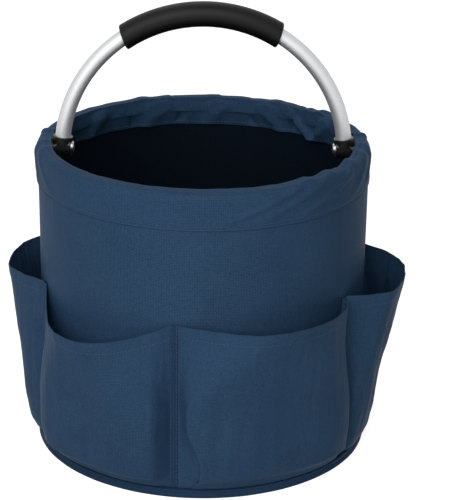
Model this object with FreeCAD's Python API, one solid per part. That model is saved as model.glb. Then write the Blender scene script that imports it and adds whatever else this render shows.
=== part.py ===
import FreeCAD, Part
import math
import os

# Round fabric cleaning caddy with an arched aluminium handle that folds down to either side.
# Millimetres, +Z up. The origin is the centre of the underside, and the handle turns about X.
# An azimuth is counted in degrees from the front, which is -Y, towards the right, which is +X.

# Cloth tube of the bucket
wall_radius = 139.7          # outer face of the outer cloth
outer_cloth = 0.8
foam_sheet = 2.0             # stiffener between the outer cloth and the lining
lining_cloth = 0.6
layer_gap = 0.1              # between layers that are sewn together
soft_gap = 0.3               # between a soft piece and what it lies against

# Rim: two half rings of tube in a cloth casing
rim_height = 257.0           # centre of the rim tube
ring_inset = 5.9             # from the wall's outer face in to the centre of the rim tube
rim_tube_radius = 4.75
rim_tube_wall = 1.0
casing_cloth = 0.9
casing_depth = 32.4          # from the top of the casing to its seam on the wall
casing_slack = 0.8           # loose cloth above the tube
casing_drop = 3.0            # straight inner cloth below the tube's centre, before it slants to the wall

# Base
base_cloth = 1.2
board_thickness = 3.0
binding_height = 7.5
binding_thickness = 4.5
binding_round = 1.6

# Pockets, all round the outside
seam_azimuths = [-9.0, 57.0, 115.2, 173.4, 231.6, 290.0]
lip_reaches = [25.5, 34.0, 31.0, 30.0, 28.0, 29.0]     # how far each pocket's lip stands out
lip_sags = [1.5, 4.0, 5.0, 6.0, 4.0, 15.0]             # how far each lip hangs below the seams beside it
pocket_cloth = 1.0
seam_width = 6.4
seam_height = 153.0          # top of the seams between pockets
pocket_profile = [           # share of the seam's height, and share of the lip's reach
    (0.0, 0.2),
    (0.1, 0.36),
    (0.25, 0.43),
    (0.45, 0.53),
    (0.75, 0.8),
    (1.05, 1.05),
]

# Handle arch
handle_tube_radius = 6.5
handle_tube_wall = 1.2
arch_drop = 4.0              # how far the arch's centre lies below the hinge axis
tube_end_rise = 6.0          # heights above the hinge axis
collar_low_rise = 3.0
collar_top_rise = 9.5
grip_radius = 10.5
grip_half_angle = 33.0       # each side of its middle
grip_lean = 1.2              # how far its middle lies from the top of the arch, towards the left
grip_round = 1.5
grip_face_lean = 2.5         # how far an end face's outer edge is drawn back, as straight foam is bent

# Hinge at each side
collar_radius = 8.4
spigot_length = 22.0
ear_radius = 7.8
ear_width = 12.5
ear_offset = 5.2             # from the arch's widest centre line out to the ear's outer face
boss_radius = 5.5
boss_length = 3.2
hinge_face_gap = 0.3         # between the boss and the bracket's flat face
rivet_radius = 2.5
running_gap = 0.05
rivet_head_radius = 4.6
rivet_head_thickness = 1.8
washer_radius = 5.4
washer_thickness = 0.8
tail_radius = 4.0
tail_thickness = 1.5
bracket_sleeve_radius = 6.1
bracket_half_width = 18.0
tube_socket_y = 6.0          # the rim tubes stop this far from the rivet's axis
stop_half_width = 15.0
stop_reach = 6.5             # how far the stop ledge stands in from the flat face
stop_height = 6.0
stop_plate_thickness = 3.4
window_gap = 1.3             # between the bracket's end and the cloth beside it
window_inset = 1.5           # the cloth is cut back to this far inside the rim tube's centre

# Worked out from the above
rim_ring_radius = wall_radius - ring_inset
pivot_height = rim_height
wall_inner_radius = wall_radius - outer_cloth
foam_outer_radius = wall_inner_radius - layer_gap
foam_inner_radius = foam_outer_radius - foam_sheet
lining_outer_radius = foam_inner_radius - layer_gap
lining_inner_radius = lining_outer_radius - lining_cloth
wall_bottom = base_cloth + layer_gap
wall_top = rim_height - bracket_sleeve_radius
casing_inside_outer = wall_radius + soft_gap
casing_inside_inner = rim_ring_radius - rim_tube_radius - 4 * layer_gap
casing_top_centre = rim_height + casing_slack
casing_half_width = (casing_inside_outer - casing_inside_inner) / 2
casing_middle = (casing_inside_outer + casing_inside_inner) / 2
casing_top = casing_top_centre + casing_half_width + casing_cloth
casing_bottom = casing_top - casing_depth
inside_radius = lining_inner_radius - layer_gap
board_bottom = base_cloth + layer_gap
board_top = board_bottom + board_thickness
pocket_bottom = binding_height + soft_gap
hinge_flat_x = rim_ring_radius - bracket_sleeve_radius
boss_outer_x = hinge_flat_x - hinge_face_gap
ear_outer_x = boss_outer_x - boss_length
ear_inner_x = ear_outer_x - ear_width
arch_radius = ear_outer_x - ear_offset
arch_centre_height = pivot_height - arch_drop
bracket_outer_radius = wall_radius
rivet_head_x = ear_inner_x - running_gap - washer_thickness
tail_x = rim_ring_radius + rim_tube_radius - tail_thickness
stop_top = pivot_height - collar_radius - hinge_face_gap
arch_centre = FreeCAD.Vector(0, 0, arch_centre_height)
x_axis = FreeCAD.Vector(1, 0, 0)
y_axis = FreeCAD.Vector(0, 1, 0)
z_axis = FreeCAD.Vector(0, 0, 1)
overshoot = 1.0              # how far a cutting tool runs past what it cuts


def save(name, *solids):
    """Writes one node's solids to its own file."""
    shape = solids[0] if len(solids) == 1 else Part.makeCompound(list(solids))
    shape.exportStep("parts/" + name + ".step")


def polar(radius, azimuth, height):
    """The point at a radius and an azimuth from the front."""
    turn = math.radians(azimuth)
    return FreeCAD.Vector(radius * math.sin(turn), -radius * math.cos(turn), height)


def disc(radius, low, high):
    """A flat round plate about the caddy's axis."""
    return Part.makeCylinder(radius, high - low, FreeCAD.Vector(0, 0, low))


def tube_about_z(outer, inner, low, high):
    """A thin upright tube about the caddy's axis."""
    return disc(outer, low, high).cut(disc(inner, low - overshoot, high + overshoot))


def rod_along_x(radius, low_x, high_x, height):
    """A round rod that lies along X through the hinge axis's plane."""
    return Part.makeCylinder(radius, high_x - low_x, FreeCAD.Vector(low_x, 0, height), x_axis)


def block(low, high):
    """A box from its lowest to its highest corner."""
    size = [b - a for a, b in zip(low, high)]
    return Part.makeBox(*size, FreeCAD.Vector(*low))


def arch_angle(height):
    """The angle above level, at the arch's centre, where the arch reaches a height."""
    return math.degrees(math.asin((height - arch_centre_height) / arch_radius))


def arch_bar(radius, start, end, seam=0):
    """A round bar along the handle's arch, between two angles above level on the +X side."""
    middle = FreeCAD.Vector(arch_radius, 0, arch_centre_height)
    circle = Part.Wire(Part.makeCircle(radius, middle, z_axis))
    circle.rotate(middle, z_axis, seam)
    bar = Part.Face(circle).revolve(arch_centre, -y_axis, end - start)
    bar.rotate(arch_centre, -y_axis, start)
    return bar


def ring_bar(radius, start, end):
    """A round bar along the rim ring, from one azimuth to another."""
    circle = Part.Wire(Part.makeCircle(radius, polar(rim_ring_radius, start, rim_height),
                                       polar(1, start + 90, 0)))
    return Part.Face(circle).revolve(FreeCAD.Vector(0, 0, 0), z_axis, end - start)


def other_side(shape):
    """The same piece for the left side: a copy turned half a turn about the caddy's axis."""
    copy = shape.copy()
    copy.rotate(FreeCAD.Vector(0, 0, 0), z_axis, 180)
    return copy


# Base: binding, cloth, board and lining

def make_base_binding():
    """Folded tape sewn round the bottom edge, thicker than the cloth and rounded outside."""
    inner = wall_radius + soft_gap
    ring = tube_about_z(inner + binding_thickness, inner, 0, binding_height)
    rounded = min(binding_round, binding_thickness / 3, binding_height / 3)
    outside = [e for e in ring.Edges if abs(e.BoundBox.XMax - inner - binding_thickness) < layer_gap
               and e.BoundBox.ZLength < layer_gap]
    return ring.makeFillet(rounded, outside)


def make_base_board():
    """Stiff round insert that keeps the bottom flat."""
    return disc(inside_radius, board_bottom, board_top)


# Wall layers and the casing round the rim

def wall_layer(outer, inner):
    """One layer of the bucket's wall, from the base cloth to just under the rim."""
    return tube_about_z(outer, inner, wall_bottom, wall_top)


def casing_outline(grow):
    """Half of the casing's section, from its outer seam over the rim to its inner seam, grown outwards."""
    half = casing_half_width + grow
    outer, inner = casing_middle + half, casing_middle - half
    slant_top = rim_height - casing_drop
    slant_foot = inside_radius - grow
    points = [
        FreeCAD.Vector(outer, 0, casing_bottom),
        FreeCAD.Vector(outer, 0, casing_top_centre),
        FreeCAD.Vector(casing_middle, 0, casing_top_centre + half),
        FreeCAD.Vector(inner, 0, casing_top_centre),
        FreeCAD.Vector(inner, 0, slant_top),
        FreeCAD.Vector(slant_foot, 0, casing_bottom),
    ]
    return [
        Part.makeLine(points[0], points[1]),
        Part.Arc(points[1], points[2], points[3]).toShape(),
        Part.makeLine(points[3], points[4]),
        Part.makeLine(points[4], points[5]),
    ]


def hinge_window():
    """The cut-out that bares one hinge from inside and leaves the cloth whole over the rim and outside."""
    half = bracket_half_width + window_gap
    low = stop_top - stop_height - window_gap
    return block((ear_inner_x, -half, low), (rim_ring_radius - window_inset, half, casing_top + overshoot))


def make_rim_casing():
    """Hem band folded over the rim tube, open at the two hinges."""
    outside, inside = casing_outline(casing_cloth), casing_outline(0)
    foot_out = Part.makeLine(outside[0].Vertexes[0].Point, inside[0].Vertexes[0].Point)
    foot_in = Part.makeLine(inside[3].Vertexes[1].Point, outside[3].Vertexes[1].Point)
    section = Part.Face(Part.Wire(Part.__sortEdges__(outside + [foot_out, foot_in] + inside)))
    band = section.revolve(FreeCAD.Vector(0, 0, 0), z_axis, 360)
    window = hinge_window()
    return band.cut(window).cut(other_side(window))


# Pockets

def pocket_span(number):
    """The azimuths of the seams on either side of a pocket, counted from nought."""
    start = seam_azimuths[number]
    following = seam_azimuths[(number + 1) % len(seam_azimuths)]
    return start, start + (following - start) % 360


def pocket_section(start, end, height, reach):
    """The closed outline of a pocket's cloth at one height: two arcs that spring from its seams."""
    middle = (start + end) / 2
    half = (end - start) / 2 - math.degrees(seam_width / 2 + soft_gap) / wall_radius
    seat = wall_radius + soft_gap
    curves = []
    for extra in (0, pocket_cloth):
        curves.append([
            polar(seat + extra, middle - half, height),
            polar(seat + reach - pocket_cloth + extra, middle, height),
            polar(seat + extra, middle + half, height),
        ])
    inner, outer = curves
    return Part.Wire([
        Part.Arc(*outer).toShape(),
        Part.makeLine(outer[2], inner[2]),
        Part.Arc(inner[2], inner[1], inner[0]).toShape(),
        Part.makeLine(inner[0], outer[0]),
    ])


def lip_cutter(start, end, reach, sag):
    """All that lies above a pocket's sagging lip, between the seams beside it."""
    turn = math.radians((end - start) / 2)
    far = wall_radius + 2 * reach
    half = far * math.sin(turn)
    seam_x = wall_radius * math.sin(turn)
    radius = (seam_x ** 2 + sag ** 2) / (2 * sag)
    lowest = seam_height - sag
    edge = lowest + half ** 2 / (2 * radius)
    top = 2 * edge
    arc = Part.Arc(FreeCAD.Vector(-half, 0, edge), FreeCAD.Vector(0, 0, lowest),
                   FreeCAD.Vector(half, 0, edge)).toShape()
    corners = [FreeCAD.Vector(half, 0, edge), FreeCAD.Vector(half, 0, top),
               FreeCAD.Vector(-half, 0, top), FreeCAD.Vector(-half, 0, edge)]
    sides = [Part.makeLine(a, b) for a, b in zip(corners, corners[1:])]
    prism = Part.Face(Part.Wire([arc] + sides)).extrude(FreeCAD.Vector(0, -far, 0))
    prism.rotate(FreeCAD.Vector(0, 0, 0), z_axis, (start + end) / 2)
    return prism


def make_pocket(number):
    """One pocket: cloth that bulges from the wall, with a lip that sags between its seams."""
    start, end = pocket_span(number)
    reach, sag = lip_reaches[number], lip_sags[number]
    rise = seam_height - pocket_bottom
    sections = [pocket_section(start, end, pocket_bottom + height * rise, share * reach)
                for height, share in pocket_profile]
    return Part.makeLoft(sections, True).cut(lip_cutter(start, end, reach, sag))


def make_seam_tape(azimuth):
    """The flat sewn strip between two pockets."""
    seat = wall_radius + soft_gap
    strip = tube_about_z(seat + pocket_cloth, seat, pocket_bottom, seam_height)
    half = seam_width / 2
    bar = block((-half, -seat - 2 * pocket_cloth, 0), (half, -seat / 2, seam_height + overshoot))
    bar.rotate(FreeCAD.Vector(0, 0, 0), z_axis, azimuth)
    return strip.common(bar)


# Rim tubes and hinges

def make_rim_tube(middle):
    """Half of the rim ring: thin tube whose ends plug into the two brackets."""
    gap = math.degrees(math.asin(tube_socket_y / rim_ring_radius))
    start, end = middle - 90 + gap, middle + 90 - gap
    return ring_bar(rim_tube_radius, start, end).cut(ring_bar(rim_tube_radius - rim_tube_wall, start, end))


def make_hinge_bracket():
    """Moulded bracket on the right: joins the rim tubes, holds the rivet and stops the handle when level."""
    sleeve_turn = math.degrees(math.asin(bracket_half_width / rim_ring_radius))
    socket_turn = math.degrees(math.asin(tube_socket_y / rim_ring_radius))
    sleeve = ring_bar(bracket_sleeve_radius, 90 - sleeve_turn, 90 + sleeve_turn)
    low = stop_top - stop_height
    core = block((hinge_flat_x, -ear_radius, low), (bracket_outer_radius, ear_radius, rim_height))
    face = block((hinge_flat_x, -ear_radius, rim_height), (rim_ring_radius, ear_radius, rim_height + boss_radius))
    plate_back = hinge_flat_x + stop_plate_thickness
    core = core.cut(block((plate_back, -ear_radius - overshoot, low - overshoot),
                          (bracket_outer_radius + overshoot, ear_radius + overshoot,
                           rim_height - bracket_sleeve_radius + layer_gap)))
    plate = block((hinge_flat_x, -stop_half_width, low), (plate_back, stop_half_width, rim_height))
    ledge = block((hinge_flat_x - stop_reach, -stop_half_width, low),
                  (hinge_flat_x, stop_half_width, stop_top))
    body = sleeve.fuse([core, face, plate])
    body = body.common(disc(bracket_outer_radius, 0, rim_height + 2 * bracket_sleeve_radius))
    body = body.cut(block((0, -bracket_half_width - overshoot, 0),
                          (hinge_flat_x, bracket_half_width + overshoot, 2 * rim_height)))
    body = body.fuse(ledge)
    channel = rim_tube_radius + running_gap
    for start, end in ((90 - sleeve_turn - overshoot, 90 - socket_turn),
                       (90 + socket_turn, 90 + sleeve_turn + overshoot)):
        body = body.cut(ring_bar(channel, start, end))
    body = body.cut(rod_along_x(rivet_radius + running_gap, 0, 2 * wall_radius, pivot_height))
    body = body.cut(rod_along_x(tail_radius + running_gap, tail_x - running_gap, 2 * wall_radius, pivot_height))
    return body.removeSplitter()


def make_pivot_rivet():
    """Steel rivet on the right: domed head inside the caddy, tail spread in the bracket's recess."""
    shank = rod_along_x(rivet_radius, rivet_head_x, tail_x + tail_thickness, pivot_height)
    head = rod_along_x(rivet_head_radius, rivet_head_x - rivet_head_thickness, rivet_head_x, pivot_height)
    rim = [e for e in head.Edges if abs(e.BoundBox.XMax - (rivet_head_x - rivet_head_thickness)) < layer_gap]
    head = head.makeFillet(rivet_head_thickness * 0.8, rim)
    tail = rod_along_x(tail_radius, tail_x, tail_x + tail_thickness, pivot_height)
    return shank.fuse([head, tail]).removeSplitter()


def make_pivot_washer():
    """Thin washer between the rivet's head and the handle's ear."""
    low, high = rivet_head_x, rivet_head_x + washer_thickness
    return rod_along_x(washer_radius, low, high, pivot_height).cut(
        rod_along_x(rivet_radius + running_gap, low - overshoot, high + overshoot, pivot_height))


# Handle

def make_handle_tube():
    """Bent aluminium tube, open at both ends."""
    start = arch_angle(pivot_height + tube_end_rise)
    return arch_bar(handle_tube_radius, start, 180 - start).cut(
        arch_bar(handle_tube_radius - handle_tube_wall, start, 180 - start))


def beyond_grip(angle, side):
    """All of the arch past one end of the grip, on side -1 or 1. The end face leans about the tube's middle."""
    reach = 3 * grip_radius
    tool = block((-reach, -reach, min(0, side * reach)), (reach, reach, max(0, side * reach)))
    tool.rotate(FreeCAD.Vector(0, 0, 0), y_axis, side * math.degrees(math.atan(grip_face_lean / grip_radius)))
    tool.translate(FreeCAD.Vector(arch_radius, 0, arch_centre_height))
    tool.rotate(arch_centre, -y_axis, angle)
    return tool


def make_foam_grip():
    """Foam sleeve over the top of the arch, with softened ends."""
    start, end = 90 + grip_lean - grip_half_angle, 90 + grip_lean + grip_half_angle
    spare = math.degrees(grip_radius / arch_radius)
    sleeve = arch_bar(grip_radius, start - spare, end + spare, 90)
    sleeve = sleeve.cut(beyond_grip(start, -1)).cut(beyond_grip(end, 1))
    rims = [e for e in sleeve.Edges if e.isClosed() and e.Length > math.pi * grip_radius]
    sleeve = sleeve.makeFillet(min(grip_round, (grip_radius - handle_tube_radius) / 2), rims)
    return sleeve.cut(arch_bar(handle_tube_radius + running_gap, start - 2 * spare, end + 2 * spare))


def make_handle_socket():
    """Moulded end fitting on the right: spigot in the tube, collar round its end, and the ear that turns."""
    floor, low, top = (arch_angle(pivot_height + rise)
                       for rise in (tube_end_rise, collar_low_rise, collar_top_rise))
    spigot_end = floor + math.degrees(spigot_length / arch_radius)
    collar = arch_bar(collar_radius, low, top)
    spigot = arch_bar(handle_tube_radius - handle_tube_wall - running_gap, low, spigot_end)
    ear = rod_along_x(ear_radius, ear_inner_x, ear_outer_x, pivot_height)
    neck = block((ear_inner_x, -ear_radius, pivot_height),
                 (ear_outer_x, ear_radius, pivot_height + collar_low_rise + layer_gap))
    boss = rod_along_x(boss_radius, ear_outer_x, boss_outer_x, pivot_height)
    boss = boss.cut(block((0, -collar_radius, pivot_height + collar_low_rise),
                          (wall_radius, collar_radius, rim_height * 2)))
    body = collar.fuse([ear, neck, boss])
    body = body.cut(arch_bar(handle_tube_radius + running_gap, floor, top + overshoot)).fuse(spigot)
    body = body.cut(rod_along_x(rivet_radius + running_gap, 0, wall_radius, pivot_height))
    body = body.cut(rod_along_x(washer_radius + hinge_face_gap, 0, ear_inner_x, pivot_height))
    return body.removeSplitter()


def build():
    os.makedirs("parts", exist_ok=True)

    save("base_binding", make_base_binding())
    save("base_cloth", disc(wall_radius + soft_gap - layer_gap, 0, base_cloth))
    save("base_board", make_base_board())
    save("base_lining", disc(inside_radius, board_top + layer_gap, board_top + layer_gap + lining_cloth))

    save("body_wall", wall_layer(wall_radius, wall_inner_radius))
    save("wall_foam", wall_layer(foam_outer_radius, foam_inner_radius))
    save("wall_lining", wall_layer(lining_outer_radius, lining_inner_radius))
    save("rim_casing", make_rim_casing())

    for number in range(len(seam_azimuths)):
        save("pocket_%d" % (number + 1), make_pocket(number))
    save("pocket_seam_tapes", *[make_seam_tape(seam) for seam in seam_azimuths])

    save("rim_tube_front", make_rim_tube(0))
    save("rim_tube_back", make_rim_tube(180))
    save("handle_tube", make_handle_tube())
    save("foam_grip", make_foam_grip())
    for name, make in (("hinge_bracket", make_hinge_bracket), ("pivot_rivet", make_pivot_rivet),
                       ("pivot_washer", make_pivot_washer), ("handle_socket", make_handle_socket)):
        right = make()
        save(name + "_right", right)
        save(name + "_left", other_side(right))


build()
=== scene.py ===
import math

import bpy
from mathutils import Matrix, Vector, noise


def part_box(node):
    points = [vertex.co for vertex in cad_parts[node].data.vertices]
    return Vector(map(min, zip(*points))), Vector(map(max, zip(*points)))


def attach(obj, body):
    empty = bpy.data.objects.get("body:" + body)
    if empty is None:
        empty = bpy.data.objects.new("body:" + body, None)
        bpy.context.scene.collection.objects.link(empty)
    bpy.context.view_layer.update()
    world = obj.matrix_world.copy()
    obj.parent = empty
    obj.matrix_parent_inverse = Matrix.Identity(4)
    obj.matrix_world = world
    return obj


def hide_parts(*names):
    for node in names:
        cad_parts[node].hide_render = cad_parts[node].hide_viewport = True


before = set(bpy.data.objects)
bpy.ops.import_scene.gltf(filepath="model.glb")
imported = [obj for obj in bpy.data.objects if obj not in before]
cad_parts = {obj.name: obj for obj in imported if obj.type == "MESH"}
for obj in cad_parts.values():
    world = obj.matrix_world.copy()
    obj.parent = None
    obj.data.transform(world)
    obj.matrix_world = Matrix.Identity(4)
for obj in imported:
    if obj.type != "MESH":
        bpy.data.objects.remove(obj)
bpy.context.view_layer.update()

# Fabric cleaning caddy: a round bucket of navy polyester cloth, stiffened with foam sheet, hung
# from a ring of tube. Six pockets are sewn round the outside, and an aluminium handle with a foam
# grip swings on a rivet at each side. Metres, +Z up, -Y the front, the hinge axis along X.


# Studio: a plain pale floor, a white surround and two soft lamps. The camera stands in front,
# above the rim, and looks down into the bucket.

MM = 0.001


def linear(colour):
    """An sRGB hex colour as linear values, opaque."""
    channels = [int(colour[i:i + 2], 16) / 255 for i in (0, 2, 4)]
    return [c / 12.92 if c <= 0.04045 else ((c + 0.055) / 1.055) ** 2.4 for c in channels] + [1.0]


def new_material(name):
    """An empty node material with its surface shader, as (material, shader)."""
    material = bpy.data.materials.new(name)
    material.use_nodes = True
    return material, material.node_tree.nodes["Principled BSDF"]


def add(material, kind, sockets, **settings):
    """Adds one shader node. A socket's value is a plain value, or (node, output name) for a link."""
    tree = material.node_tree
    node = tree.nodes.new("ShaderNode" + kind)
    for name, value in settings.items():
        setattr(node, name, value)
    for name, value in sockets.items():
        if isinstance(value, tuple) and isinstance(value[0], bpy.types.Node):
            tree.links.new(value[0].outputs[value[1]], node.inputs[name])
        else:
            node.inputs[name].default_value = value
    return node


def wire(material, shader, name, node, output):
    """Links a node's output to a socket of the surface shader."""
    material.node_tree.links.new(node.outputs[output], shader.inputs[name])


def deselect():
    """Clears the selection, so that an operator acts on the new piece alone."""
    bpy.ops.object.select_all(action="DESELECT")


scene = bpy.context.scene
scene.view_settings.view_transform = "Standard"

camera_height = 0.130        # of the point that it looks at, on the bucket's axis
camera_distance = 1.62
camera_elevation = math.radians(22)
camera_roll = math.radians(0.5)
camera_data = bpy.data.cameras.new("camera")
camera_data.lens = 134
camera_data.shift_x = 0.061
camera_data.shift_y = 0.074
camera = bpy.data.objects.new("camera", camera_data)
scene.collection.objects.link(camera)
camera.location = (0, -camera_distance * math.cos(camera_elevation),
                   camera_height + camera_distance * math.sin(camera_elevation))
tilt = Matrix.Rotation(math.pi / 2 - camera_elevation, 3, "X") @ Matrix.Rotation(camera_roll, 3, "Z")
camera.rotation_euler = tilt.to_euler()
scene.camera = camera

deselect()
bpy.ops.mesh.primitive_plane_add(size=12)
floor = bpy.context.object
floor.name = "floor"


def looked_at(owner):
    """1 on rays that show the studio, straight, mirrored or through glass, and 0 on those that light it."""
    seen = add(owner, "LightPath", {})
    either = add(owner, "Math", {0: (seen, "Is Camera Ray"), 1: (seen, "Is Glossy Ray")},
                 operation="MAXIMUM")
    return add(owner, "Math", {0: (either, "Value"), 1: (seen, "Is Transmission Ray")},
               operation="MAXIMUM")


floor_paint, floor_shader = new_material("matt_white_floor")
floor_shader.inputs["Base Color"].default_value = linear("D8D8D7")
floor_shader.inputs["Roughness"].default_value = 0.9
floor_glow = 0.86            # lifts the lit floor to white for the eye, and lights nothing
glow = add(floor_paint, "Math", {0: (looked_at(floor_paint), "Value"), 1: floor_glow},
           operation="MULTIPLY")
wire(floor_paint, floor_shader, "Emission Strength", glow, "Value")
floor_shader.inputs["Emission Color"].default_value = linear("FFFFFF")
floor.data.materials.append(floor_paint)

world = bpy.data.worlds.new("white_surround")
scene.world = world
world.use_nodes = True
ambient = 0.07               # what the surround adds to the lamps
strength = add(world, "MapRange", {"Value": (looked_at(world), "Value"), "To Min": ambient, "To Max": 1.0})
background = world.node_tree.nodes["Background"]
background.inputs["Color"].default_value = linear("FFFFFF")
world.node_tree.links.new(strength.outputs["Result"], background.inputs["Strength"])

lamp_target = Vector((0, 0, 0.15))
lamps = [("key_lamp", (-0.48, -1.8, 1.35), 2.0, 41),    # name, place, side of the square, watts
         ("back_lamp", (-0.2, 1.2, 2.0), 1.2, 6)]
for name, place, size, power in lamps:
    lamp_data = bpy.data.lights.new(name, "AREA")
    lamp_data.size = size
    lamp_data.energy = power
    lamp = bpy.data.objects.new(name, lamp_data)
    scene.collection.objects.link(lamp)
    lamp.location = place
    lamp.rotation_euler = (lamp_target - Vector(place)).to_track_quat("-Z", "Y").to_euler()


# Wall: one long strip of 600-denier polyester, joined into a tube with a foam sheet and a lining
# behind it. The cloth stands nearly round, with faint upright waves between its seams.

wall_low, wall_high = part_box("body_wall")
casing_low, casing_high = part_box("rim_casing")
tapes_low, tapes_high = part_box("pocket_seam_tapes")
wall_radius = wall_high.x
hem_seam_height = casing_low.z + 1.5 * MM     # the hem is sewn to the wall here
seam_top = tapes_high.z
pocket_bottom = tapes_low.z
cloth = 0.8 * MM             # 600-denier cloth with its coating
sharp_edge = math.radians(50)     # smooth shading stops at edges that turn more than this


def on_ring(radius, azimuth, height):
    """A point by its radius and its azimuth, counted from the front towards +X."""
    return Vector((radius * math.sin(azimuth), -radius * math.cos(azimuth), height))


def waver(azimuth, height, across, along, seed):
    """Smooth unevenness from -1 to 1, with features of two given lengths, closed round the bucket."""
    return noise.noise(Vector((wall_radius * math.sin(azimuth) / across,
                               wall_radius * math.cos(azimuth) / across, height / along + seed)))


def ease(value, start=0.0, end=1.0):
    """0 before start and 1 after end, with a smooth rise between."""
    share = min(max((value - start) / (end - start), 0.0), 1.0)
    return share * share * (3 - 2 * share)


def mix(a, b, share):
    """A value between a and b."""
    return a + (b - a) * share


def around(azimuth, centre):
    """The angle from a centre, between minus and plus half a turn."""
    return (azimuth - centre + math.pi) % math.tau - math.pi


def form(name, columns, rows, place, thickness, material, closed=False, keep=None, level=False):
    """A piece of cloth, cut flat as a grid, laid to place(u, v), trimmed and given its thickness.

    closed merges edges that meet, keep(u, v) says which cloth stays, and level lays the weave
    straight across a flat round piece. The UV map is in millimetres of cloth.
    """
    deselect()
    bpy.ops.mesh.primitive_grid_add(x_subdivisions=columns, y_subdivisions=rows, size=2)
    piece = bpy.context.object
    piece.name = piece.data.name = name
    flat = [((vertex.co.x + 1) / 2, (vertex.co.y + 1) / 2) for vertex in piece.data.vertices]
    steps = 16
    width = sum((place((i + 1) / steps, 0.5) - place(i / steps, 0.5)).length for i in range(steps)) / MM
    height = sum((place(0.5, (i + 1) / steps) - place(0.5, i / steps)).length for i in range(steps)) / MM
    for vertex, (u, v) in zip(piece.data.vertices, flat):
        vertex.co = place(u, v)
    layer = piece.data.uv_layers.active
    for loop in piece.data.loops:
        u, v = flat[loop.vertex_index]
        point = piece.data.vertices[loop.vertex_index].co / MM
        layer.data[loop.index].uv = point.xy if level else (u * width, v * height)
    if keep:
        bpy.ops.object.mode_set(mode="EDIT")
        bpy.ops.mesh.select_mode(type="FACE")
        bpy.ops.mesh.select_all(action="DESELECT")
        bpy.ops.object.mode_set(mode="OBJECT")
        for face in piece.data.polygons:
            middle = [sum(flat[i][axis] for i in face.vertices) / len(face.vertices)
                      for axis in (0, 1)]
            face.select = not keep(*middle)
        bpy.ops.object.mode_set(mode="EDIT")
        bpy.ops.mesh.delete(type="FACE")
        bpy.ops.object.mode_set(mode="OBJECT")
    if closed:
        bpy.ops.object.mode_set(mode="EDIT")
        bpy.ops.mesh.select_all(action="SELECT")
        bpy.ops.mesh.remove_doubles(threshold=0.01 * MM)
        bpy.ops.object.mode_set(mode="OBJECT")
    if thickness:
        layers = piece.modifiers.new("cloth", "SOLIDIFY")
        layers.thickness = thickness
        layers.offset = 0
        bpy.ops.object.modifier_apply(modifier="cloth")
    bpy.ops.object.shade_smooth_by_angle(angle=sharp_edge)
    piece.data.materials.append(material)
    return piece


# Real threads are 0.4 mm apart, too fine to show: they are drawn 1.3 mm apart.
thread_spacing = 1.3


def woven(name, colour, dark, roughness):
    """Coated polyester: crossing threads with a painted highlight on their tops and painted shade between
    them, with slubs and soft mottling.
    """
    material, shader = new_material(name)
    laid = add(material, "UVMap", {})
    wave = math.tau / 20 / thread_spacing     # a wave texture repeats every tau / 20 at scale 1
    warp = add(material, "TexWave", {"Vector": (laid, "UV"), "Scale": wave, "Distortion": 0.5,
                                     "Detail": 0.0}, bands_direction="X")
    weft = add(material, "TexWave", {"Vector": (laid, "UV"), "Scale": wave, "Distortion": 0.5,
                                     "Detail": 0.0}, bands_direction="Y")
    # The threads' pattern paints a highlight on the thread tops and shade in the gaps; the dark colour is
    # that painted shade and the low end of the slubs' and mottling's tone.
    threads = add(material, "Math", {0: (warp, "Fac"), 1: (weft, "Fac")}, operation="MULTIPLY")
    here = add(material, "TexCoord", {})
    # Mottling about 45 mm across, and slubs about 2 mm long.
    mottle = add(material, "TexNoise", {"Vector": (here, "Object"), "Scale": 22.0, "Detail": 3.0})
    slub = add(material, "TexNoise", {"Vector": (here, "Object"), "Scale": 520.0, "Detail": 2.0})
    tone = add(material, "MapRange", {"Value": (mottle, "Fac"), "From Min": 0.3, "From Max": 0.7,
                                      "To Min": -0.02, "To Max": 0.12})
    grain = add(material, "Math", {0: (slub, "Fac"), 1: (threads, "Value")}, operation="ADD")
    weight = add(material, "Math", {0: (grain, "Value"), 1: 0.6, 2: (tone, "Result")},
                 operation="MULTIPLY_ADD")
    shade = add(material, "Mix", {"Factor": (weight, "Value"), "A": linear(dark), "B": linear(colour)},
                data_type="RGBA")
    wire(material, shader, "Base Color", shade, 2)
    bump = add(material, "Bump", {"Height": (grain, "Value"), "Strength": 0.5, "Distance": 0.12 * MM})
    wire(material, shader, "Normal", bump, "Normal")
    shader.inputs["Roughness"].default_value = roughness
    shader.inputs["Specular IOR Level"].default_value = 0.05
    return material


# Piece-dyed navy cloth in a plain weave, coated behind, so its face stays matt and only its folds shade it.
navy_oxford = woven("navy_oxford_polyester", "3A5776", "1E324A", 0.6)


def wall_place(u, v):
    """The outer cloth of the wall, from the base to the hem's seam."""
    azimuth, height = u * math.tau, mix(wall_low.z, hem_seam_height, v)
    wave = 0.7 * MM * waver(azimuth, height, 45 * MM, 140 * MM, 3)
    near_seam = ease(height, hem_seam_height - 22 * MM, hem_seam_height)
    pucker = 0.45 * MM * waver(azimuth, height, 5 * MM, 40 * MM, 8) * near_seam
    free = ease(hem_seam_height - height, 0, 8 * MM)
    return on_ring(wall_radius - cloth / 2 + wave * free + pucker - 0.2 * MM, azimuth, height)


wall_cloth = form("wall_cloth", 420, 64, wall_place, cloth, navy_oxford, closed=True)
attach(wall_cloth, "caddy")
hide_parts("body_wall")


# Hem: a band of the same cloth folded inwards over the ring of tube and sewn down 30 mm below the
# rim. It is longer than the ring, so it gathers in folds, most of all inside on the right at the
# back. It is cut away inside each hinge.

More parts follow.
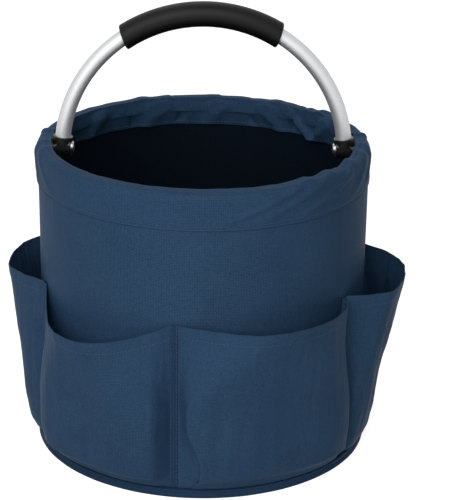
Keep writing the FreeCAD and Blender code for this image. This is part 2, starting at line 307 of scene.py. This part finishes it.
casing_outer = casing_high.x - cloth / 2
roll_width = 12.25 * MM      # across the rolled rim, between the middles of its cloth
hem_inner = casing_outer - roll_width
roll = (casing_outer - hem_inner) / 2
roll_height = casing_high.z - cloth / 2 - roll
hem_foot = wall_radius - 4.6 * MM     # radius of the inner seam
inner_seam_height = hem_seam_height + 4 * MM
straight = 3.5 * MM          # upright cloth inside, below the roll
outer_run = roll_height - hem_seam_height
slant_run = math.hypot(hem_foot - hem_inner, roll_height - straight - inner_seam_height)
hem_length = outer_run + math.pi * roll + straight + slant_run
hinge_window = math.asin(19.3 * MM / wall_radius)
window_radius = 132.3 * MM   # the cloth is cut back to here, inside each hinge
window_foot = 241 * MM       # and down to here
hem_joins = (173.6, 193.0)   # azimuths at the back where the band's ends lap
roll_foot = 251 * MM         # below this the inside cloth hangs in front of the lining
lining_face = wall_radius - 4.4 * MM


def hem_profile(run):
    """Radius, height and outward direction at a length up the outside and down the inside."""
    if run < outer_run:
        return casing_outer, hem_seam_height + run, (1.0, 0.0)
    run -= outer_run
    if run < math.pi * roll:
        turn = run / roll
        side, up = math.cos(turn), math.sin(turn)
        return hem_inner + roll + roll * side, roll_height + roll * up, (side, up)
    run -= math.pi * roll
    if run < straight:
        return hem_inner, roll_height - run, (-1.0, 0.0)
    share = (run - straight) / slant_run
    return (mix(hem_inner, hem_foot, share),
            mix(roll_height - straight, inner_seam_height, share), (-1.0, 0.0))


def gather(azimuth):
    """How far the hem is gathered: most on the right at the back, some on the right at the front."""
    back_right = math.exp(-(around(azimuth, math.radians(135)) / math.radians(34)) ** 2)
    front_right = math.exp(-(around(azimuth, math.radians(55)) / math.radians(28)) ** 2)
    return 0.35 + 0.65 * back_right + 0.7 * front_right


# Folds that hang inside the rim: azimuths at the rim and at the hem's seam, width and depth in mm.
hanging_folds = [(98, 103, 7, 3.0), (104, 112, 6, 3.5), (120, 130, 9, 7.5), (131, 131, 3.5, -3.0),
                 (146, 134, 8, 6.0), (117, 116, 4, -3.5), (139, 143, 3.5, -3.5), (156, 149, 9, 4.5),
                 (164, 160, 5, -3.0), (172, 178, 10, 3.0), (186, 190, 5, -2.5), (197, 202, 12, 3.5),
                 (212, 207, 5, -3.0), (224, 229, 11, 3.5), (238, 236, 4, -3.0), (246, 250, 8, 4.0),
                 (256, 253, 5, 3.0), (30, 26, 16, 3.0), (-30, -24, 16, 3.0), (66, 74, 10, 4.0),
                 (-62, -70, 10, 4.0)]
# Creases over the rim and down the outside, in the same way, from the rim down to the seam.
outer_folds = [(-86, -74, 5, 1.4), (-99, -112, 6, 1.6), (-92, -95, 3.5, -1.2), (-78, -60, 6, 1.0),
               (85, 70, 5, 1.4), (76, 56, 8, 1.6), (97, 108, 5, 1.6), (92, 96, 3.5, -1.2),
               (64, 30, 8, 1.5), (58, 38, 4, -0.7), (49, 14, 9, 1.2), (38, 2, 8, 1.0),
               (150, 158, 7, 1.2), (128, 120, 6, 1.4), (137, 140, 4, -1.0), (205, 198, 8, 1.2)]


def folded(azimuth, share, folds):
    """The sum of a list's folds at an azimuth, at a share of the way from the rim to the seam."""
    total = 0.0
    for top, foot, width, depth in folds:
        gap = around(azimuth, math.radians(mix(top, foot, share))) * wall_radius / MM / width
        if abs(gap) < 3:
            total += depth * math.exp(-gap * gap) * (1 - 0.35 * gap * gap)
    return total


# The handle lies level inside the rim when it is folded, so the cloth keeps to these least radii.
hinge_side, hinge_room = math.radians(16), 127.4 * MM     # beside a hinge
handle_underside, low_room = 246 * MM, 120 * MM           # below the level handle
grip_side, grip_room = math.radians(38), 127.2 * MM       # round the grip, at the front and back
tube_room, tube_room_loss = 126.3 * MM, 4.0 * MM          # along the tube, and less away from the hinges


def from_hinge(azimuth):
    """The angle to the nearer hinge."""
    return min(abs(around(azimuth, math.pi / 2)), abs(around(azimuth, -math.pi / 2)))


def clear_radius(azimuth, height):
    """The least radius that leaves room for the handle when it lies level, front or back."""
    if from_hinge(azimuth) < hinge_side:
        return hinge_room
    if height < handle_underside:
        return low_room
    if abs(math.cos(azimuth)) > math.cos(grip_side):
        return grip_room
    return tube_room - tube_room_loss * abs(math.cos(azimuth))


def hem_place(u, v):
    """The hem's cloth with its gathers."""
    azimuth = u * math.tau
    run = v * hem_length
    radius, height, (side, up) = hem_profile(run)
    loose = gather(azimuth)
    top_run = outer_run + math.pi * roll / 2
    if run < top_run:
        free = ease(run, 0, 14 * MM)
        share = (top_run - run) / top_run
        wave = (0.9 * waver(azimuth, height, 15 * MM, 60 * MM, 20)
                + 0.35 * waver(azimuth, height, 5 * MM, 30 * MM, 8))
        out = (wave * loose * mix(0.35, 1.0, free) + folded(azimuth, share, outer_folds) * free) * MM
        sewn_in = math.exp(-((run - 1.5 * MM) / (1.2 * MM)) ** 2)
        out -= 0.6 * MM * sewn_in
    else:
        share = (run - top_run) / (hem_length - top_run)
        free = ease(share, 0.0, 0.4)
        small = 1.3 * waver(azimuth, height, 8 * MM, 40 * MM, 26) * loose
        out = (0.9 * waver(azimuth, height, 15 * MM, 60 * MM, 20) * loose * (1 - free)
               + folded(azimuth, 0.0, outer_folds) * (1 - free)
               + (folded(azimuth, share, hanging_folds) + small) * free) * MM
    lift = (0.9 * waver(azimuth, 0.0, 18 * MM, 20 * MM, 41) * loose
            + 0.3 * folded(azimuth, 0.0, outer_folds)) * MM
    for join in hem_joins:
        past = around(azimuth, math.radians(join)) * wall_radius
        out += 0.7 * MM * ease(past, -0.4 * MM, 0.4 * MM) * (1 - ease(past, 0.4 * MM, 16 * MM))
    lift *= ease(run, outer_run - 12 * MM, outer_run)
    tight = 1 - ease(from_hinge(azimuth), hinge_window, hinge_window * 1.5)
    out = mix(out, max(out, 0.0), tight)
    lift = mix(lift, max(lift, 0.0), tight)
    point_radius = radius + side * out
    point_height = height + up * out + lift
    if side < 0:
        outermost = lining_face if point_height < roll_foot else hem_inner + 0.15 * MM
        point_radius = min(point_radius, outermost)
    return on_ring(max(point_radius, clear_radius(azimuth, point_height)), azimuth, point_height)


def hem_keep(u, v):
    """False where the hem is cut away inside a hinge."""
    azimuth, run = u * math.tau, v * hem_length
    radius, height, outward = hem_profile(run)
    return (from_hinge(azimuth) > hinge_window or run < outer_run
            or radius > window_radius or height < window_foot)


hem_band = form("hem_band", 480, 56, hem_place, cloth, navy_oxford, closed=True, keep=hem_keep)
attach(hem_band, "caddy")
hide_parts("rim_casing")


# Lining: coated polyester, smoother than the outside and painted nearly black as shade for the dark inside,
# sewn in at the rim and the base.

lining_low, lining_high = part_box("wall_lining")
lining_inner = lining_high.x - 0.6 * MM
lining_cloth_thickness = 0.5 * MM

# The lining is painted nearly black, as painted shade for the dark inside of the bucket, so it takes hardly
# any light.
painted_shade_lining = woven("lining_painted_shade", "0F1A27", "080E17", 0.75)


def lining_place(u, v):
    """The lining inside the wall, with soft upright creases."""
    azimuth, height = u * math.tau, mix(lining_low.z + 4 * MM, lining_high.z, v)
    wave = (0.5 * MM * waver(azimuth, height, 30 * MM, 90 * MM, 50)
            + 0.25 * MM * waver(azimuth, height, 9 * MM, 40 * MM, 51))
    return on_ring(lining_inner + 0.35 * MM + wave, azimuth, height)


lining_cloth = form("lining_cloth", 300, 60, lining_place, lining_cloth_thickness, painted_shade_lining, closed=True)
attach(lining_cloth, "caddy")
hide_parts("wall_lining")

base_lining_low, base_lining_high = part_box("base_lining")


def floor_lining_place(u, v):
    """The lining over the base board, a little puffed."""
    azimuth, radius = u * math.tau, v * (base_lining_high.x - 0.3 * MM)
    puff = 0.5 * MM * (1 + waver(azimuth, radius, 40 * MM, 50 * MM, 60)) * (1 - ease(v, 0.9, 1.0))
    return on_ring(radius, azimuth, base_lining_low.z + 0.3 * MM + puff)


floor_lining = form("base_lining_cloth", 128, 40, floor_lining_place, lining_cloth_thickness, painted_shade_lining,
                    closed=True, level=True)
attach(floor_lining, "caddy")
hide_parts("base_lining")


# Pockets: six panels of the wall's cloth, each wider than the wall behind it, so that it stands out
# like a pouch. Its spare width is laid in a pleat beside each seam and its foot is tucked under the
# binding. The lip is hemmed.

seams = [math.radians(azimuth) for azimuth in (-9, 57, 115.2, 173.4, 231.6, 290)]
seam_half = 3.2 * MM         # half the width of the strip that covers a seam
pocket_seat = wall_radius + 0.7 * MM
lip_hem = 9 * MM
# How far a panel stands out up its height: share of the seam's height, and share of the lip's reach.
pouch_profile = [(0.1, 0.42), (0.25, 0.54), (0.45, 0.6), (0.75, 0.8), (1.0, 1.0)]
# How far the cloth stands out at steps from a seam to the middle of the lip, as shares of its reach.
lip_steps = (0.0, 0.05, 0.12, 0.2, 0.4, 0.6, 0.8, 1.0)
slack_lip = (0.0, 0.05, 0.12, 0.19, 0.42, 0.7, 0.93, 1.0)
round_lip = (0.0, 0.12, 0.26, 0.4, 0.68, 0.88, 0.98, 1.0)
full_lip = (0.0, 0.28, 0.46, 0.58, 0.8, 0.93, 0.99, 1.0)
taut_lip = (0.0, 0.08, 0.18, 0.3, 0.62, 0.88, 0.98, 1.0)
bent_lip = (0.0, 0.12, 0.28, 0.46, 0.85, 0.93, 0.98, 1.0)
# The pleats at the foot: millimetres from the seam, and share of the reach there.
soft_pleat = ((0, 0.0), (1.0, 0.06), (5, 0.4), (9.5, 0.76), (13, 0.9), (20, 0.97), (36, 1.0))
flat_pleat = ((0, 0.0), (1.5, 0.08), (5, 0.24), (11, 0.48), (19, 0.75), (27, 0.92), (40, 1.0))
tight_pleat = ((0, 0.0), (1.2, 0.14), (2.2, 0.36), (4, 0.6), (8, 0.82), (18, 0.94), (36, 0.99))
# How far from its seam a folded pleat's edge lies, by the share of the seam's height.
fold_line = [(0.0, 12.0), (0.1, 19.0), (0.2, 19.5), (0.4, 10.0), (0.6, 3.5), (1.0, 1.0)]
# For each pocket: the reach of its lip in mm, a factor on its fullness at the foot, and its reach in mm
# where it meets the binding; how far the lip sags in mm, and how steeply at its left and right ends; the
# lip's shape towards its left and right seams, and the pleats there. None is the folded pleat.
pouches = [
    (25.5, 1.5, 4.5, (1.0, 2.0, 2.0), slack_lip, full_lip, None, tight_pleat),
    (34.5, 0.75, 5.0, (1.5, 2.0, 2.0), bent_lip, round_lip, tight_pleat, soft_pleat),
    (31.0, 0.9, 4.0, (4.5, 2.2, 2.2), round_lip, round_lip, None, soft_pleat),
    (30.0, 0.95, 3.5, (6.0, 2.2, 2.2), slack_lip, round_lip, soft_pleat, None),
    (28.0, 1.05, 8.0, (3.0, 2.2, 2.2), round_lip, taut_lip, soft_pleat, flat_pleat),
    (29.0, 1.35, 4.5, (16.5, 4.5, 2.0), slack_lip, slack_lip, flat_pleat, soft_pleat),
]


def along_table(table, share):
    """A value read from pairs of share and value, with the corners between them eased."""
    for (low, value), (high, following) in zip(table, table[1:]):
        if share <= high:
            part = (share - low) / (high - low)
            return mix(value, following, 0.3 * ease(part) + 0.7 * part)
    return table[-1][1]


def curve_through(points, share):
    """A smooth curve through points, at a share of its parameter."""
    place = min(share * (len(points) - 1), len(points) - 1.0001)
    index = int(place)
    t = place - index
    a, b = points[max(index - 1, 0)], points[index]
    c, d = points[index + 1], points[min(index + 2, len(points) - 1)]
    return [0.5 * (2 * q + (r - p) * t + (2 * p - 5 * q + 4 * r - s) * t * t
                   + (3 * q - p - 3 * r + s) * t ** 3)
            for p, q, r, s in zip(a, b, c, d)]


def evenly(points, count):
    """Points at even lengths along a smooth curve through the given ones."""
    samples = 240
    fine = [curve_through(points, i / samples) for i in range(samples + 1)]
    lengths = [0.0]
    for a, b in zip(fine, fine[1:]):
        lengths.append(lengths[-1] + math.dist(a, b))
    even, index = [], 0
    for step in range(count + 1):
        target = lengths[-1] * step / count
        while index < samples - 1 and lengths[index + 1] < target:
            index += 1
        part = (target - lengths[index]) / (lengths[index + 1] - lengths[index])
        even.append([mix(a, b, part) for a, b in zip(fine[index], fine[index + 1])])
    return even


pocket_columns = 160
hollow = 0.8                 # share of the reach half way between two pleats, where the panel sinks


def pocket_place(index):
    """The function that lays one pocket's panel."""
    lip, foot_share, foot, droop, left_lip, right_lip, left_pleat, right_pleat = pouches[index]
    sag, left_power, right_power = droop
    start = seams[index]
    turn = (seams[(index + 1) % len(seams)] - start) % math.tau
    half = turn / 2 * wall_radius - seam_half
    middle = start + turn / 2
    seed = 70 + 7 * index
    rows = {}

    def pleat_line(pleat, share):
        """The line from a seam to the middle of the pocket where the pleat holds it."""
        if pleat is None:
            fold = along_table(fold_line, share)
            pleat = ((0, 0.0), (0.25 * fold, 0.03), (0.7 * fold, 0.3), (1.08 * fold, 0.62),
                     (0.97 * fold, 0.93), (1.1 * fold + 1.5, 0.99), (fold + 24, mix(hollow, 1.0, 0.3)))
        return [(away * MM, out) for away, out in pleat] + [(half, hollow)]

    def section(share):
        """The panel's line at a share of its height: pairs along the wall and out from it."""
        foot_line = ((0.0, 1.5), (0.0125, foot), (0.05, foot + 3))
        profile = [(step, out / lip / foot_share) for step, out in foot_line] + pouch_profile
        reach = lip * MM * along_table(profile, share) * mix(foot_share, 1.0, ease(share, 0.0, 0.8))
        gathered = 1 - ease(share, 0.4, 1.0)
        sides = []
        for lip_shape, pleat in ((left_lip, left_pleat), (right_lip, right_pleat)):
            points = []
            for step, at_lip, (away, at_foot) in zip(lip_steps, lip_shape, pleat_line(pleat, share)):
                points.append((mix(step * half, away, gathered), reach * mix(at_lip, at_foot, gathered)))
            sides.append(points)
        left, right = sides
        return ([(away - half, out) for away, out in left]
                + [(half - away, out) for away, out in reversed(right[:-1])])

    def place(u, v):
        """A point of the panel, with its lip's sag and hem and the creases of slack cloth."""
        column = round(u * pocket_columns)
        if v not in rows:
            rows[v] = evenly(section(v), pocket_columns)
        if abs(u * pocket_columns - column) < 1e-4:
            along, out = rows[v][column]
        else:
            along, out = curve_through(rows[v], u)
        across = along / half
        steep = left_power if across < 0 else right_power
        top = (seam_top - sag * MM * (1 - abs(across) ** steep)
               + 0.5 * MM * waver(middle + across, 0, 20 * MM, 1, seed))
        height = mix(pocket_bottom, top, v)
        crease = (waver(middle + across, height, 18 * MM, 60 * MM, seed + 1)
                  + 0.4 * waver(middle + across, height, 6 * MM, 16 * MM, seed + 2))
        free = ease(1 - abs(across), 0, 0.12) * ease(v, 0.02, 0.2)
        out += 0.9 * MM * crease * free
        below = (1 - v) * (top - pocket_bottom)
        out += 0.35 * MM * (1 - ease(below, lip_hem - 0.5 * MM, lip_hem + 0.5 * MM))
        return on_ring(pocket_seat + max(out, 0), middle + along / wall_radius, height)

    return place


pocket_names = ["pocket_%d" % number for number in range(1, 7)]
for index, name in enumerate(pocket_names):
    panel = form(name + "_panel", pocket_columns, 80, pocket_place(index), 0.9 * MM, navy_oxford)
    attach(panel, "caddy")
    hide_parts(name)


# Seam strips: folded tape that covers the join between two pockets, sewn down each side.

# Closer and heavier than the cloth, and without sheen. It is a shade darker as painted shade, for the
# strips that lie deep in the pleats' valleys.
navy_tape = woven("navy_polyester_tape", "2D4763", "172940", 0.65)


def strip_place(azimuth):
    """The function that lays one strip: a narrow tape, a little domed."""

    def place(u, v):
        """A point of the tape, across and up."""
        across = (2 * u - 1) * seam_half
        height = mix(pocket_bottom, seam_top, v)
        dome = 0.5 * MM * (1 - (2 * u - 1) ** 4) + 0.2 * MM * waver(azimuth, height, 8 * MM, 12 * MM, 90)
        return on_ring(pocket_seat + 0.4 * MM + dome, azimuth + across / wall_radius, height)

    return place


for index, azimuth in enumerate(seams):
    strip = form("seam_strip_%d" % (index + 1), 10, 90, strip_place(azimuth), 0.7 * MM, navy_tape)
    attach(strip, "caddy")
    if index == 0:
        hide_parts("pocket_seam_tapes")


# Binding: the same tape folded round the bottom edge of the wall, over the pockets' feet and the
# base cloth, and sewn through with one row of stitches, which pull a groove into it.

binding_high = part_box("base_binding")[1]
binding_outer = binding_high.x
binding_inner = wall_radius - 0.3 * MM
binding_top = binding_high.z
groove_height = 4.0          # mm above the floor
ring_thickness = 0.25        # of the round ring that the binding is shaped from, one unit in radius
deselect()
bpy.ops.mesh.primitive_torus_add(major_segments=420, minor_segments=40, major_radius=1.0,
                                 minor_radius=ring_thickness)
binding = bpy.context.object
binding.name = binding.data.name = "bottom_binding"
half_width = (binding_outer - binding_inner) / 2
half_height = binding_top / 2
for vertex in binding.data.vertices:
    azimuth = math.atan2(vertex.co.x, -vertex.co.y)
    side = (math.hypot(vertex.co.x, vertex.co.y) - 1.0) / ring_thickness
    up = vertex.co.z / ring_thickness
    square = max(abs(side), abs(up)) ** 0.8
    side, up = side / square, up / square
    height = half_height + max(min(up, 1.0), -1.0) * half_height
    swell = 0.25 * waver(azimuth, 0, 18 * MM, 1, 96)
    groove = (-0.8 * math.exp(-((height / MM - groove_height) / 0.45) ** 2)
              - 0.3 * ease(height, groove_height * MM, (groove_height + 0.4) * MM))
    out = (swell + groove) * MM * max(side, 0)
    middle = (binding_outer + binding_inner) / 2
    vertex.co = on_ring(middle + side * half_width * 0.97 + out, azimuth, height)
bpy.ops.object.shade_smooth_by_angle(angle=sharp_edge)
binding.data.materials.append(navy_tape)
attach(binding, "caddy")
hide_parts("base_binding")


# Base cloth: a disc of the wall's cloth under the board, its edge held in the binding.


def base_place(u, v):
    """The base cloth, flat, its face downwards."""
    azimuth, radius = u * math.tau, v * (wall_radius - 0.5 * MM)
    return on_ring(radius, -azimuth, 0.9 * MM)


base_cloth = form("base_cloth_sheet", 128, 40, base_place, 0.8 * MM, navy_oxford, closed=True, level=True)
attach(base_cloth, "caddy")
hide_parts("base_cloth")


# Stitches: navy thread, in rows down the seam strips, under the lips, along the hem and round the
# binding. One stitch is modelled, repeated at an even pitch and bent along each row.

# Twisted polyester thread, 0.4 mm in its twist, a shade paler than the cloth.
thread_navy, shader = new_material("navy_sewing_thread")
here = add(thread_navy, "TexCoord", {})
twist = add(thread_navy, "TexNoise", {"Vector": (here, "Object"), "Scale": 2500.0, "Detail": 1.0})
tone = add(thread_navy, "Mix", {"Factor": (twist, "Fac"), "A": linear("2C425B"), "B": linear("42597A")},
           data_type="RGBA")
wire(thread_navy, shader, "Base Color", tone, 2)
shader.inputs["Roughness"].default_value = 0.55
shader.inputs["Specular IOR Level"].default_value = 0.3
pitch = 3.2 * MM
stitch_half = 1.25 * MM      # half a stitch's length
stitch_radius = 0.3 * MM


def stitch_row(path):
    """One row of stitches along a path: the stitch is a short round-ended length of thread."""
    data = bpy.data.curves.new("row_line", "CURVE")
    data.dimensions = "3D"
    spline = data.splines.new("POLY")
    spline.points.add(len(path) - 1)
    for point, place in zip(spline.points, path):
        point.co = (*place, 1)
    line = bpy.data.objects.new("row_line", data)
    scene.collection.objects.link(line)
    deselect()
    bpy.ops.mesh.primitive_uv_sphere_add(segments=6, ring_count=5, radius=1)
    row = bpy.context.object
    for vertex in row.data.vertices:
        x, y, z = vertex.co
        vertex.co = (pitch / 2 + z * stitch_half, x * stitch_radius, y * stitch_radius)
    array = row.modifiers.new("pitch", "ARRAY")
    array.fit_type = "FIT_CURVE"
    array.curve = line
    array.use_relative_offset = False
    array.use_constant_offset = True
    array.constant_offset_displace = (pitch, 0, 0)
    bend = row.modifiers.new("line", "CURVE")
    bend.object = line
    bpy.ops.object.modifier_apply(modifier="pitch")
    bpy.ops.object.modifier_apply(modifier="line")
    bpy.data.objects.remove(line)
    return row


def sew(name, paths):
    """Joins rows of stitches into one piece."""
    rows = [stitch_row(path) for path in paths]
    deselect()
    for row in rows:
        row.select_set(True)
    bpy.context.view_layer.objects.active = rows[0]
    if len(rows) > 1:
        bpy.ops.object.join()
    piece = bpy.context.object
    piece.name = piece.data.name = name
    bpy.ops.object.shade_smooth()
    piece.data.materials.append(thread_navy)
    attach(piece, "caddy")


def lifted(point, distance):
    """A point moved outwards from the bucket's axis."""
    azimuth = math.atan2(point.x, -point.y)
    return on_ring(math.hypot(point.x, point.y) + distance, azimuth, point.z)


strip_rows = []
for azimuth in seams:
    for side in (0.14, 0.86):
        place = strip_place(azimuth)
        strip_rows.append([lifted(place(side, 0.01 + 0.98 * step / 40), 0.4 * MM) for step in range(41)])
sew("strip_stitches", strip_rows)

lip_rows = []
for index in range(len(seams)):
    place = pocket_place(index)
    lip_run = (place(0.5, 1.0) - place(0.5, 0.0)).length
    below_lip = 1 - (lip_hem + 1.0 * MM) / lip_run
    lip_rows.append([lifted(place(0.03 + 0.94 * step / 90, below_lip), 0.5 * MM) for step in range(91)])
sew("lip_stitches", lip_rows)

hem_rows = []
for run, distance in ((3.2 * MM, 0.5 * MM), (hem_length - 3.0 * MM, -0.5 * MM)):
    hem_rows.append([lifted(hem_place(step / 360, run / hem_length), distance) for step in range(361)])
sew("hem_stitches", hem_rows)

binding_row = [on_ring(binding_outer - 1.0 * MM, math.tau * step / 240, 5.9 * MM) for step in range(241)]
sew("binding_stitches", [binding_row])


# Handle: aluminium tube bent to an arch, and the two half rings of the same tube inside the rim.
# The solids are exact as they are, so this and the sections after it give them their finishes.


def dress(material, *nodes):
    """Gives CAD nodes a material."""
    for node in nodes:
        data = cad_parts[node].data
        data.materials.clear()
        data.materials.append(material)


# Satin anodised: a broad soft highlight over fine marks, about 1 mm apart, that the etching leaves.
satin_aluminium, shader = new_material("satin_anodised_aluminium")
here = add(satin_aluminium, "TexCoord", {})
streaks = add(satin_aluminium, "TexNoise", {"Vector": (here, "Object"), "Scale": 900.0, "Detail": 3.0})
tone = add(satin_aluminium, "Mix", {"Factor": (streaks, "Fac"), "A": linear("BBBCBE"),
                                    "B": linear("D3D4D5")}, data_type="RGBA")
wire(satin_aluminium, shader, "Base Color", tone, 2)
gloss = add(satin_aluminium, "MapRange", {"Value": (streaks, "Fac"), "To Min": 0.52, "To Max": 0.66})
wire(satin_aluminium, shader, "Roughness", gloss, "Result")
bump = add(satin_aluminium, "Bump", {"Height": (streaks, "Fac"), "Strength": 0.12, "Distance": 0.05 * MM})
wire(satin_aluminium, shader, "Normal", bump, "Normal")
shader.inputs["Metallic"].default_value = 1.0

dress(satin_aluminium, "handle_tube", "rim_tube_front", "rim_tube_back")


# Grip: a sleeve of foam rubber, slid over the middle of the arch.

# Extruded foam rubber with a closed skin: black and nearly matt, with pores 0.7 mm apart.
foam_rubber, shader = new_material("black_foam_rubber")
here = add(foam_rubber, "TexCoord", {})
pores = add(foam_rubber, "TexNoise", {"Vector": (here, "Object"), "Scale": 1400.0, "Detail": 2.0})
tone = add(foam_rubber, "Mix", {"Factor": (pores, "Fac"), "A": linear("050505"), "B": linear("111112")},
           data_type="RGBA")
wire(foam_rubber, shader, "Base Color", tone, 2)
bump = add(foam_rubber, "Bump", {"Height": (pores, "Fac"), "Strength": 0.5, "Distance": 0.15 * MM})
wire(foam_rubber, shader, "Normal", bump, "Normal")
shader.inputs["Roughness"].default_value = 0.45
shader.inputs["Specular IOR Level"].default_value = 0.16
dress(foam_rubber, "foam_grip")


# Hinges: a moulded socket and ear on each end of the arch, and a moulded bracket on each side of the
# rim that the rim tubes plug into. A rivet with a washer joins them.

# Moulded nylon: black with a low shine, broken by the mould's fine grain, 0.6 mm.
black_nylon, shader = new_material("moulded_black_nylon")
here = add(black_nylon, "TexCoord", {})
grain = add(black_nylon, "TexNoise", {"Vector": (here, "Object"), "Scale": 1800.0, "Detail": 2.0})
tone = add(black_nylon, "Mix", {"Factor": (grain, "Fac"), "A": linear("0B0B0C"), "B": linear("171718")},
           data_type="RGBA")
wire(black_nylon, shader, "Base Color", tone, 2)
bump = add(black_nylon, "Bump", {"Height": (grain, "Fac"), "Strength": 0.2, "Distance": 0.05 * MM})
wire(black_nylon, shader, "Normal", bump, "Normal")
shader.inputs["Roughness"].default_value = 0.38
dress(black_nylon, "handle_socket_left", "handle_socket_right", "hinge_bracket_left", "hinge_bracket_right")

# Nickel-plated steel: bright, with handling marks about 1.4 mm across that blur its reflections.
bright_steel, shader = new_material("nickel_plated_steel")
here = add(bright_steel, "TexCoord", {})
marks = add(bright_steel, "TexNoise", {"Vector": (here, "Object"), "Scale": 700.0, "Detail": 3.0})
gloss = add(bright_steel, "MapRange", {"Value": (marks, "Fac"), "To Min": 0.28, "To Max": 0.45})
wire(bright_steel, shader, "Roughness", gloss, "Result")
shader.inputs["Base Color"].default_value = linear("A8A9AC")
shader.inputs["Metallic"].default_value = 1.0
dress(bright_steel, "pivot_rivet_left", "pivot_rivet_right", "pivot_washer_left", "pivot_washer_right")


# Wall foam and base board: the two stiffeners, a foam sheet and a pressed board, shut in between the
# cloth and the lining. They show only when the pieces are taken apart.

# Cross-linked closed-cell foam: dark grey and dull, its cells drawn about 1.1 mm apart.
closed_foam, shader = new_material("closed_cell_foam_sheet")
here = add(closed_foam, "TexCoord", {})
cells = add(closed_foam, "TexVoronoi", {"Vector": (here, "Object"), "Scale": 900.0})
tone = add(closed_foam, "Mix", {"Factor": (cells, "Distance"), "A": linear("2B2C2E"),
                                "B": linear("3A3B3E")}, data_type="RGBA")
wire(closed_foam, shader, "Base Color", tone, 2)
shader.inputs["Roughness"].default_value = 0.85
dress(closed_foam, "wall_foam")

# Pressed fibre board: dull and nearly black, its fibres about 4 mm long.
fibre_board, shader = new_material("pressed_fibre_board")
here = add(fibre_board, "TexCoord", {})
fibres = add(fibre_board, "TexNoise", {"Vector": (here, "Object"), "Scale": 260.0, "Detail": 5.0})
tone = add(fibre_board, "Mix", {"Factor": (fibres, "Fac"), "A": linear("232324"), "B": linear("3A3938")},
           data_type="RGBA")
wire(fibre_board, shader, "Base Color", tone, 2)
shader.inputs["Roughness"].default_value = 0.8
dress(fibre_board, "base_board")
